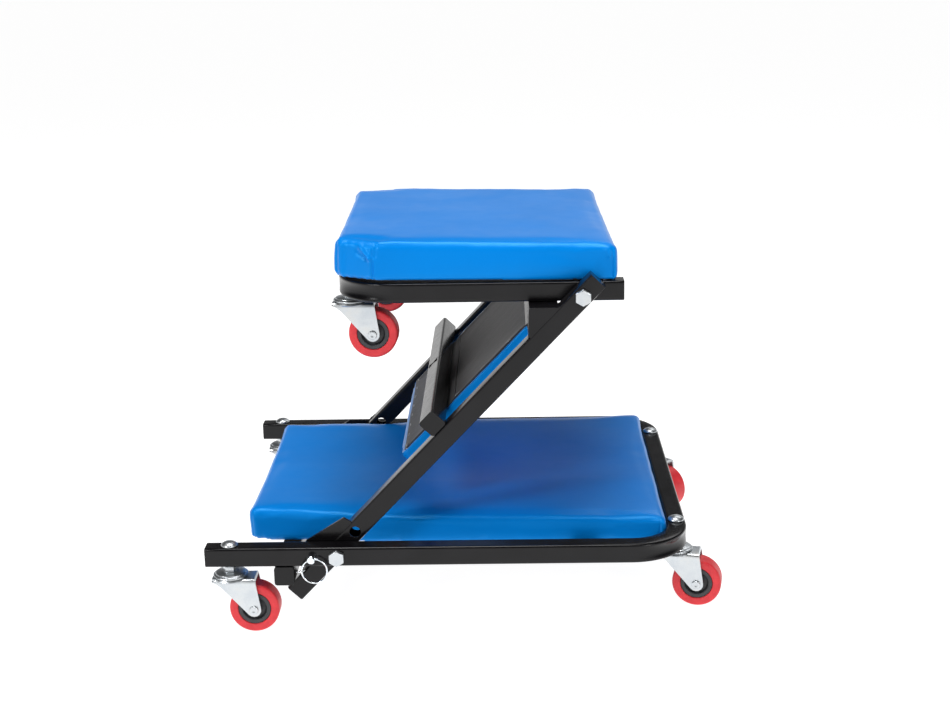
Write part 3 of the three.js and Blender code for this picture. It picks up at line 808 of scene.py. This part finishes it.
def streak(points, a, b, width):
    """Soft ridge along a line drawn on the long sides, from a to b as (x, z)."""
    start, run = np.array(a), np.array(b) - np.array(a)
    flat = points[:, (0, 2)] - start
    f = np.clip(flat @ run / (run @ run), 0, 1)
    away = np.linalg.norm(flat - f[:, None] * run, axis=1)
    return bumpiness(away, width) * np.clip(np.abs(points[:, 1]) / (120 * MM) - 0.2, 0, 1)


def refine_near(piece, corners, reach=11 * MM):
    """Finer faces beside the folded corners, so that their tucks can be sharp."""
    bm = bmesh.new()
    bm.from_mesh(piece.data)
    for _ in range(2):
        edges = set()
        for face in bm.faces:
            middle = face.calc_center_median()
            if any(math.hypot(middle.x - x, abs(middle.y) - y) < reach for x, y in corners):
                edges.update(face.edges)
        bmesh.ops.subdivide_edges(bm, edges=list(edges), cuts=1, use_grid_fill=True, smooth=0.0)
    bmesh.ops.triangulate(bm, faces=[face for face in bm.faces if len(face.verts) > 4])
    bm.to_mesh(piece.data)
    bm.free()


def flap(travel):
    """Cross-section of a folded-over edge: a raised flap whose rim drops sharply into a groove."""
    lifted = 1 / (1 + np.exp(-np.clip(travel / (0.35 * MM), -30, 30)))
    raised = 1.7 * MM * lifted * np.exp(-np.maximum(travel, 0) / (8 * MM))
    return raised - 1.3 * MM * bumpiness(travel, 1.1 * MM)


def groove(distance, depth):
    """Tight vertical tuck with the cover puffed up on both sides of it."""
    return -depth * bumpiness(distance, 1.2 * MM) + 0.55 * depth * bumpiness(distance - 5 * MM, 3.5 * MM)


def to_outline(points, edge):
    """Distance in plan from each point to a closed outline."""
    best = np.full(len(points), 1.0)
    for a, b in zip(edge, edge[1:] + edge[:1]):
        start, run = np.array(a), np.array(b) - np.array(a)
        away = points[:, :2] - start
        f = np.clip(away @ run / (run @ run), 0, 1)
        best = np.minimum(best, np.linalg.norm(away - f[:, None] * run, axis=1))
    return best


def clear_of(x, bars):
    """0 over the steel bars that cross under a pad, rising to 1 a few millimetres beside them."""
    share = 1.0
    for a, b in bars:
        share = share * np.clip((np.maximum(a - x, x - b) - 1 * MM) / (6 * MM), 0, 1)
    return share


def wrapped_rim(piece, edge, low, depth, bars):
    """The cover rolls a little below the board before it is stapled, except where steel crosses."""
    points = coordinates(piece.data)
    share = bumpiness(to_outline(points, edge), 7 * MM) * np.clip(1 - (points[:, 2] - low) / (12 * MM), 0, 1)
    points[:, 2] -= depth * share * clear_of(points[:, 0], bars)
    place_vertices(piece.data, points)


def pad(node, label, body, shape, low, high, rule, corners, rim, bars=(), place=Matrix.Identity(4)):
    """One vinyl cushion in the pad's own axes, then placed in the row frame."""
    edge = outline(shape, -0.9 * MM)
    mesh = pad_block(label, edge, low, high, 3.2 * MM)
    piece = make_object(label, mesh, VINYL, None)
    swell(piece, voxel=4 * MM, pressure=4.0, cap=2.2 * MM, floor=low)
    refine_near(piece, corners)
    shaped(piece, rule)
    wrapped_rim(piece, edge, low, rim, bars)
    piece.data.polygons.foreach_set("use_smooth", [True] * len(piece.data.polygons))
    piece.data.transform(place)
    piece.data.materials.clear()
    piece.data.materials.append(VINYL)
    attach(piece, body)
    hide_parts(node)
    return piece


def side_facing(normals):
    """1 on upright faces, 0 on level ones."""
    return 1 - np.abs(normals[:, 2])


def long_side_facing(normals):
    """1 on the upright faces of the long sides, falling off toward the ends."""
    return side_facing(normals) * np.clip(np.abs(normals[:, 1]) * 1.4 - 0.3, 0, 1)


def seat_rule(points, normals):
    """Seat pad: folded corners, a raised left edge over the bolt heads, tight crown."""
    lo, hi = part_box("top_cushion")
    up = np.clip((points[:, 2] - lo.z) / (hi.z - lo.z), 0, 1)
    top = np.clip(normals[:, 2], 0, 1)
    side = side_facing(normals)
    long_side = long_side_facing(normals)
    fold = lo.x + 39 * MM

    # the cover folded over at the cut corners and the right end, and its tuck at the left end
    push = long_side * flap(fold - points[:, 0]) * (1.25 - 0.7 * up)
    push += long_side * flap(points[:, 0] - (hi.x - 4 * MM)) * (1.1 - 0.6 * up)
    push += side * groove(near_line(points, lo.x + 1 * MM, 141 * MM), 2.2 * MM)

    # creases beside the fold: height, x at the top and below the top, x at the foot and above it, width
    creases = ((2.3, -11, 5, -2, 13, 2.2), (-1.5, -15, 8, -7, 14, 2.4), (-0.9, 4, 2, 3, 16, 2.2))
    for height, x_top, below, x_foot, above, width in creases:
        head = (fold + x_top * MM, hi.z - below * MM)
        foot = (fold + x_foot * MM, lo.z + above * MM)
        push += height * MM * streak(points, head, foot, width * MM)
    knuckle = (hi.x - 9 * MM, hi.z - 4 * MM), (hi.x - 7 * MM, hi.z - 9 * MM)
    push += 1.6 * MM * streak(points, *knuckle, 3.6 * MM)

    # slack in the cover, with short creases across its long edges
    push += top * 0.6 * MM * ripple(points, 16, 3.1) + side * 0.6 * MM * ripple(points, 40, 8.7)
    edge_creases = ripple(points * (1, 0.25, 1), 70, 2.9) * bumpiness(np.abs(points[:, 1]) - hi.y, 22 * MM)
    push += top * 0.5 * MM * edge_creases
    offset = normals * push[:, None]

    # the pad is thicker and lifted at its left end, and sits turned on its frame
    across = (hi.x - points[:, 0]) / (hi.x - lo.x)
    offset[:, 2] += up * (2.2 * MM * across + 0.4 * MM) + 3.4 * MM * across - 2.6 * MM
    turn = math.radians(0.75)
    offset[:, 0] -= points[:, 1] * turn
    offset[:, 1] += (points[:, 0] - (lo.x + hi.x) / 2) * turn
    return offset


def lower_rule(points, normals):
    """Long pad: dished by use in the middle, full along its edges, pinched beside the links."""
    lo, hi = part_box("lower_cushion")
    u = (points[:, 0] - lo.x) / (hi.x - lo.x)
    v = points[:, 1] / hi.y
    up = np.clip((points[:, 2] - lo.z) / (hi.z - lo.z), 0, 1)
    top = np.clip(normals[:, 2], 0, 1)
    side = side_facing(normals)
    long_side = long_side_facing(normals)

    dish = 3.2 * MM * bumpiness(np.hypot((u - 0.52) / 0.34, v / 0.62), 1.0)
    dish += 1.0 * MM * bumpiness(np.hypot((u - 0.15) / 0.16, v / 0.8), 1.0)
    pinch = bumpiness(u - 0.29, 0.09) * bumpiness(np.abs(v) - 0.93, 0.12)
    push = top * (0.8 * MM * ripple(points, 11, 1.7) - dish - 2.4 * MM * pinch)
    push += side * (0.9 * MM * ripple(points, 30, 5.2) - 1.6 * MM * pinch)

    # full stretches along the upper edges of the long sides, the folded right end and the tucked left end
    puff = bumpiness(u - 0.17, 0.09) + bumpiness(u - 0.43, 0.1) + 0.7 * bumpiness(u - 0.93, 0.06)
    push += 1.3 * MM * puff * bumpiness(up - 0.8, 0.4) * np.clip(np.abs(v) * 3 - 2, 0, 1)
    push += long_side * flap(points[:, 0] - (hi.x - 4 * MM)) * (1.1 - 0.8 * up)
    push += side * groove(near_line(points, lo.x + 1 * MM, 140 * MM), 0.9 * MM)
    offset = normals * push[:, None]

    # the top sags toward the near side and the right end, and leans out over the left end
    sag = np.clip(-v - 0.35, 0, 1) / 0.65 * np.clip((u - 0.05) / 0.3, 0, 1)
    rise = 1.2 * MM * np.clip(v, 0, 1) - 1.5 * MM * np.clip(u - 0.85, 0, 1)
    offset[:, 2] += up * (rise - 5.0 * MM * sag ** 1.5)
    offset[:, 0] -= up * 2.0 * MM * np.clip(1 - u / 0.1, 0, 1)
    return offset


def mid_rule(points, normals):
    """Middle pad: nearly flat, with a little slack in the cover."""
    side = side_facing(normals)
    push = side * 0.7 * MM * ripple(points, 34, 2.2) + (1 - side) * 0.5 * MM * ripple(points, 14, 6.0)
    return normals * push[:, None]


def link_matrix():
    """From link axes (along the link, across, off its back) to the row frame."""
    angle = math.atan2(LINK_HEAD.z - LINK_FOOT.z, LINK_HEAD.x - LINK_FOOT.x)
    return Matrix.Translation(LINK_FOOT) @ Matrix.Rotation(-angle, 4, "Y")


def local_box(node, place):
    """A CAD node's box in the axes of a placement matrix."""
    inverse = place.inverted()
    points = np.array([inverse @ v.co for v in NODES[node].data.vertices])
    return Vector(points.min(0)), Vector(points.max(0))


def dense(points, step=5 * MM, counts=None):
    """Evenly filled closed outline; returns its points and how many each side got."""
    sides = list(zip(points, points[1:] + points[:1]))
    counts = counts or [max(1, round(math.dist(a, b) / step)) for a, b in sides]
    filled = []
    for (a, b), count in zip(sides, counts):
        filled += [(a[0] + (b[0] - a[0]) * i / count, a[1] + (b[1] - a[1]) * i / count) for i in range(count)]
    return filled, counts


# A backing's section: millimetres in from its edge, and its depth there as a share of the hem's.
# The first row lies 0.6 mm up inside the pad.
HEM_ROLL = [(0.0, -0.6), (0.0, 0.25), (0.6, 0.62), (2.0, 0.95), (4.5, 1.0), (8.0, 0.7), (12.0, 0.3),
            (18.0, 0.16), (40.0, 0.16), (80.0, 0.16), (120.0, 0.16)]


def backing(node, label, shape, low, inset, hem, rim, bars=(), domes=(), place=Matrix.Identity(4)):
    """Black cloth stapled under a pad, its edge turned in to a soft roll that thins over the steel."""

    def drop(x, y, further, depth, wave):
        """How far below the pad's underside the cloth hangs, in millimetres, less over the bolts' domes."""
        hang = depth
        if depth > 0:
            free = clear_of(x, bars)
            hang = max(0.5, (hem / MM - 0.5) * free * depth * (1 + 0.12 * wave) + 0.5)
            hang += rim / MM * free * math.exp(-((inset / MM + further) / 7) ** 2)
        room = [(math.hypot(x - cx, abs(y) - cy) - 9 * MM) / (6 * MM) for cx, cy in domes]
        clear = max(0.0, min([1.0] + room))
        return hang * clear - 1.6 * (1 - clear)

    counts = None
    rings = []
    for further, depth in HEM_ROLL:
        points, counts = dense(outline(shape, inset + further * MM), counts=counts)
        ring = []
        for x, y in points:
            wave = noise.noise(Vector((x * 32, y * 32, 4.4)))
            shift = 2.2 * wave * MM if further < 40 else 0
            height = low - drop(x, y, further, depth, wave) * MM
            ring.append(Vector((x * (1 - shift / 0.2), y * (1 - shift / 0.15), height)))
        rings.append(ring)
    mesh = to_mesh(ring_surface(rings), label)
    smooth_by_angle(mesh, 60)
    mesh.transform(place)
    make_object(label, mesh, CLOTH, NODES[node]["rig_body"], [node])
    staples(node, label, outline(shape, inset + 4.5 * MM), low - hem, bars, domes, place)


def staples(node, label, line, low, bars, domes, place):
    """Wire staples along the roll of a backing, none of them quite straight."""
    bm = bmesh.new()
    points, _ = dense(line, step=36 * MM)
    for n, (x, y) in enumerate(points):
        over_steel = any(a - 8 * MM < x < b + 8 * MM for a, b in bars)
        if over_steel or any(math.hypot(x - cx, abs(y) - cy) < 17 * MM for cx, cy in domes):
            continue
        ahead = points[(n + 1) % len(points)]
        turn = math.atan2(ahead[1] - y, ahead[0] - x) + 0.35 * noise.noise(Vector((x * 50, y * 50, n)))
        arm = Vector((math.cos(turn), math.sin(turn), 0)) * 4.4 * MM
        across = Vector((-arm.y, arm.x, 0)).normalized() * 0.45 * MM
        rings = []
        for i in range(9):
            f = i / 4 - 1
            sunk = 0.8 * MM * max(0.0, abs(f) - 0.8) / 0.2
            middle = Vector((x, y, low - 0.15 * MM + sunk)) + arm * f
            rings.append(circle(middle, across, Vector((0, 0, 0.3 * MM)), 8))
        add_skin(bm, rings)
    mesh = to_mesh(bm, label + "_staples")
    smooth_by_angle(mesh, 60)
    mesh.transform(place)
    make_object(label + "_staples", mesh, ZINC, NODES[node]["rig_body"])


def loose_thread(x, half, low, place):
    """Seam thread across the middle backing, its end frayed at the near edge."""
    seam = [(x + 3 * MM * noise.noise(Vector((y * 9, 1, 2))), y)
            for y in np.linspace(half - 12 * MM, 3 * MM - half, 40)]
    end_x, end_y = seam[-1]
    paths = [seam]
    for n, turn in enumerate((-1.3, -0.6, 0.1, 0.7, 1.4)):
        reach = (4 + 1.5 * (n % 3)) * MM
        curl = [(reach * f, turn + f) for f in (0, 0.25, 0.5, 0.75, 1)]
        paths.append([(end_x + far * math.sin(a), end_y - far * math.cos(a) + 2 * MM) for far, a in curl])
    bm = bmesh.new()
    for path in paths:
        frayed = path is not seam
        size = (0.4 if frayed else 0.55) * MM
        rings = []
        for px, py in path:
            hang = 2.9 if frayed else 1.2 + 1.4 * max(0.0, abs(py) / half - 0.85) / 0.15
            middle = Vector((px, py, low - hang * MM))
            rings.append(circle(middle, Vector((size, 0, 0)), Vector((0, 0, size)), 6))
        add_skin(bm, rings)
    mesh = to_mesh(bm, "back_backing_thread")
    smooth_by_angle(mesh, 60)
    mesh.transform(place)
    make_object("back_backing_thread", mesh, CLOTH, NODES["mid_board"]["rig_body"])


def seat():
    lo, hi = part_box("top_cushion")
    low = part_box("top_board")[0].z + BACKING
    shape = PadShape(lo.x + 1.2 * MM, hi.x + 0.6 * MM, 141 * MM, 161 * MM, hi.y, 40 * MM)
    corners = [(lo.x + 40 * MM, 161 * MM), (lo.x, 141 * MM), (hi.x, hi.y)]
    pad("top_cushion", "seat_pad", "top_section", shape, low, hi.z + 1.6 * MM, seat_rule, corners, 1.4 * MM)
    strap_lo, strap_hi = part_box("top_strap")
    dome = JOINTS["swivel_top_far"]["pos_m"]
    tilt = Matrix.Translation((0, 0, -0.7 * MM)) @ Matrix.Rotation(math.radians(0.5), 4, "Y")
    backing("top_board", "seat_backing", shape, low, inset=4 * MM, hem=2.4 * MM, rim=1.4 * MM,
            bars=[(strap_lo.x, strap_hi.x)], domes=[(dome[0], dome[1])], place=tilt)


def long_pad():
    lo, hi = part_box("lower_cushion")
    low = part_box("lower_board")[0].z + BACKING
    shape = PadShape(lo.x - 0.5 * MM, hi.x + 2.6 * MM, 142 * MM, 157 * MM, hi.y + 0.6 * MM, 180 * MM)
    corners = [(lo.x, 141 * MM), (hi.x, hi.y)]
    pad("lower_cushion", "long_pad", "lower_section", shape, low, hi.z + 0.8 * MM, lower_rule, corners,
        3 * MM)
    backing("lower_board", "long_backing", shape, low, inset=9 * MM, hem=BACKING, rim=3 * MM)


def back_pad():
    """Made face up like the others, in the links' axes turned over, then set on the links."""
    place = link_matrix()
    lo, hi = local_box("mid_cushion", place)
    _, board_hi = local_box("mid_board", place)
    crossbar, strap = (local_box(node, place) for node in ("mid_crossbar", "mid_strap"))
    bars = [(bar_lo.x, bar_hi.x) for bar_lo, bar_hi in (crossbar, strap)]
    flip = place @ Matrix.Rotation(math.pi, 4, "X")
    low = BACKING - board_hi.z
    shape = PadShape(lo.x, hi.x, hi.y - 5 * MM, hi.y, hi.y, 9 * MM)
    corners = [(lo.x, hi.y - 5 * MM), (hi.x, hi.y)]
    pad("mid_cushion", "back_pad", "middle_section", shape, low, -lo.z - 1 * MM, mid_rule, corners, 1 * MM,
        bars, flip)
    backing("mid_board", "back_backing", shape, low, inset=5 * MM, hem=1.8 * MM, rim=1 * MM, bars=bars,
            place=flip)
    loose_thread(crossbar[1].x + 9 * MM, hi.y, low, flip)


steelwork()
weld_beads()
for which in SIDES:
    split_ring(which)
SHARED = {
    "swivel_bolt": swivel_bolt(),
    "axle": lathe("axle_bolt", axle_profile(), 32),
    "tyre": lathe("tread", tread_profile(), 96),
    "hub": lathe("wheel_hub", hub_profile(), 64),
}
for which in CASTERS:
    caster(which, SHARED)
seat()
long_pad()
back_pad()
